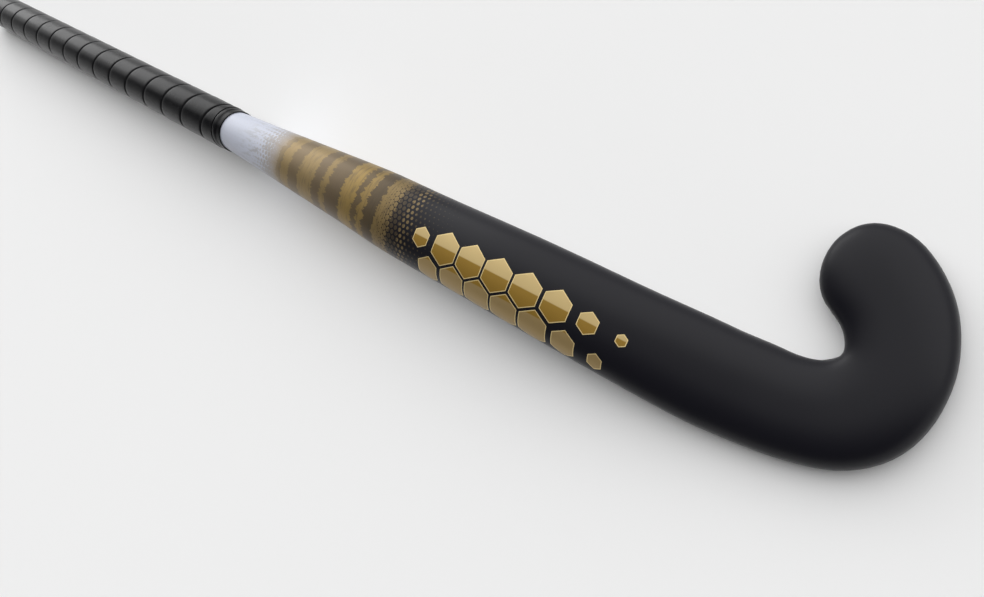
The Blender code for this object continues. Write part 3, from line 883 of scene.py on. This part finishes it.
def shell_finish():
    """Matt black lacquer with a metallic print: a pearl collar, hoops and dots, and a foil honeycomb with
    painted reflection and highlights.
    """
    m = material_nodes("shell lacquer")
    place = m.place()
    along = m.math("DIVIDE", m.parts(place)[0], MM)
    across = m.math("DIVIDE", m.attribute(AROUND), MM)
    bristles = m.noise(place, BRISTLES)
    printed = dotted(m, place, along, across, bristles, hooped(m, place, along, bristles))
    foil, foil_and_painted_light = honeycomb(m, along, across)
    in_print = m.math("MULTIPLY", m.ease(along, *METAL_GROWS), m.ease(along, *METAL_FADES))
    metal = m.math("MAXIMUM", foil, in_print)
    fine = m.noise(place, LACQUER)
    relief = m.math("ADD", fine, m.math("MULTIPLY", foil, FOIL_RELIEF))
    return m.surface(
        Base_Color=m.mix(foil, printed, foil_and_painted_light),
        Metallic=m.math("MULTIPLY", metal, INK_METAL),
        Roughness=m.blend(metal, m.blend(fine, *LACQUER_ROUGHNESS), INK_ROUGHNESS),
        Normal=m.bump(relief, strength=0.12, distance=0.05 * MM),
        Specular_IOR_Level=0.2,
    )


def rubber_finish(name, color, scuffed, smoothest, roughest, relief):
    """Satin rubber with a fine tacky grain, scuffs and handling marks, matt where a tape's edge is rolled."""
    m = material_nodes(name)
    place = m.place()
    marks = m.noise(place, HAND_MARKS)
    grain = m.math("ADD", m.noise(place, TACK), m.math("MULTIPLY", marks, MARKS_RELIEF))
    return m.surface(
        Base_Color=m.mix(m.ease(m.noise(place, TAPE_SCUFFS), *TAPE_TO_SCUFFS), color, scuffed),
        Roughness=m.blend(m.attribute(ROLLED_EDGE), m.blend(marks, smoothest, roughest), MATT_ROUGHNESS),
        Normal=m.bump(grain, strength=relief, distance=0.08 * MM),
        Specular_IOR_Level=0.075,
    )


def laminate_finish():
    """Bare woven laminate: two sets of slanted ribs."""
    ribs = 2.2
    m = material_nodes("tube laminate")
    place = m.vector("MULTIPLY", m.place(), (1 / MM, 1 / MM, 1 / MM))
    x, y, _ = m.parts(place)
    over = m.math("SINE", m.math("MULTIPLY", m.math("ADD", x, y), ribs))
    under = m.math("SINE", m.math("MULTIPLY", m.math("SUBTRACT", x, y), ribs))
    weave = m.math("MULTIPLY_ADD", m.math("MULTIPLY", over, under), 0.5, 0.5)
    return m.surface(Base_Color=m.mix(weave, LAMINATE_DARK, LAMINATE_LIGHT), Roughness=0.4)


def foam_finish(name, color, pores):
    """Foam with so many pores to a metre, darker away from their middles."""
    m = material_nodes(name)
    cell = m.node("ShaderNodeTexVoronoi", m.place())
    cell.inputs["Scale"].default_value = pores
    shade = cell.outputs["Distance"]
    return m.surface(
        Base_Color=m.mix(shade, color, tuple(c * PORE_SHADE for c in color[:3]) + (1,)),
        Roughness=0.85,
        Normal=m.bump(shade, strength=0.5, distance=0.3 * MM),
    )


def dress(obj, look):
    obj.data.materials.clear()
    obj.data.materials.append(look)


def lay_floor():
    bm = bmesh.new()
    bmesh.ops.create_grid(bm, x_segments=1, y_segments=1, size=FLOOR_REACH)
    mesh = bpy.data.meshes.new("floor")
    bm.to_mesh(mesh)
    bm.free()
    floor = bpy.data.objects.new("floor", mesh)
    floor.location = (0, 0, -FLOOR_DROP)
    bpy.context.scene.collection.objects.link(floor)
    m = material_nodes("pale floor")
    dress(floor, m.surface(Base_Color=FLOOR_PALE, Roughness=0.9, Specular_IOR_Level=0.1))


def light_room():
    """A studio that is lighter on the toe's side, with a pale band round the horizon for its far walls."""
    room = Nodes(bpy.data.worlds.new("studio"))
    x, y, up = room.parts(room.node("ShaderNodeTexCoord").outputs["Generated"])
    side = room.math("MULTIPLY_ADD", x, ROOM_TURN, y)
    overhead = room.ease(side, *ROOM_SIDES, *ROOM_LEVELS)
    level = room.ease(up, *HORIZON_TO_ROOM, HORIZON_LEVEL, overhead)
    bpy.context.scene.world = room.shade("Background", Color=(1, 1, 1, 1), Strength=level)


def hang_softbox():
    lamp = bpy.data.lights.new("end softbox", "AREA")
    lamp.shape = "RECTANGLE"
    lamp.size, lamp.size_y = SOFTBOX_SIZE
    lamp.energy = SOFTBOX_POWER
    softbox = bpy.data.objects.new("end softbox", lamp)
    softbox.location = SOFTBOX_PLACE
    softbox.rotation_euler = (Vector(SOFTBOX_AIM) - Vector(SOFTBOX_PLACE)).to_track_quat("-Z", "Y").to_euler()
    bpy.context.scene.collection.objects.link(softbox)


def set_camera():
    lens = bpy.data.cameras.new("camera")
    lens.sensor_width = CAMERA_SENSOR
    lens.lens = CAMERA_LENS
    lens.clip_start = CAMERA_NEAREST
    camera = bpy.data.objects.new("camera", lens)
    camera.location = CAMERA_PLACE
    camera.rotation_euler = [math.radians(angle) for angle in CAMERA_TURN]
    bpy.context.scene.collection.objects.link(camera)
    bpy.context.scene.camera = camera


def studio():
    bpy.context.scene.view_settings.view_transform = "Standard"
    lay_floor()
    light_room()
    hang_softbox()
    set_camera()


def build():
    skin = shell_skin()
    dress(skin, shell_finish())
    grip = rubber_finish("grip tape", GRIP_BLACK, GRIP_SCUFFED, smoothest=0.17, roughest=0.34, relief=0.28)
    for piece in (grip_wrap(), grip_band()):
        dress(piece, grip)
    cap = butt_cap()
    plug = rubber_finish("plug rubber", PLUG_BLACK, PLUG_SCUFFED, smoothest=0.55, roughest=0.65, relief=0.2)
    dress(cap, plug)
    laminate = laminate_finish()
    dress(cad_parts["inner_tube_toe_side"], laminate)
    dress(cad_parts["inner_tube_heel_side"], laminate)
    dress(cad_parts["head_core"], foam_finish("core foam", CORE_FOAM, pores=900))
    dress(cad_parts["grip_underlay"], foam_finish("underlay foam", SLEEVE_FOAM, pores=1400))
    studio()


build()
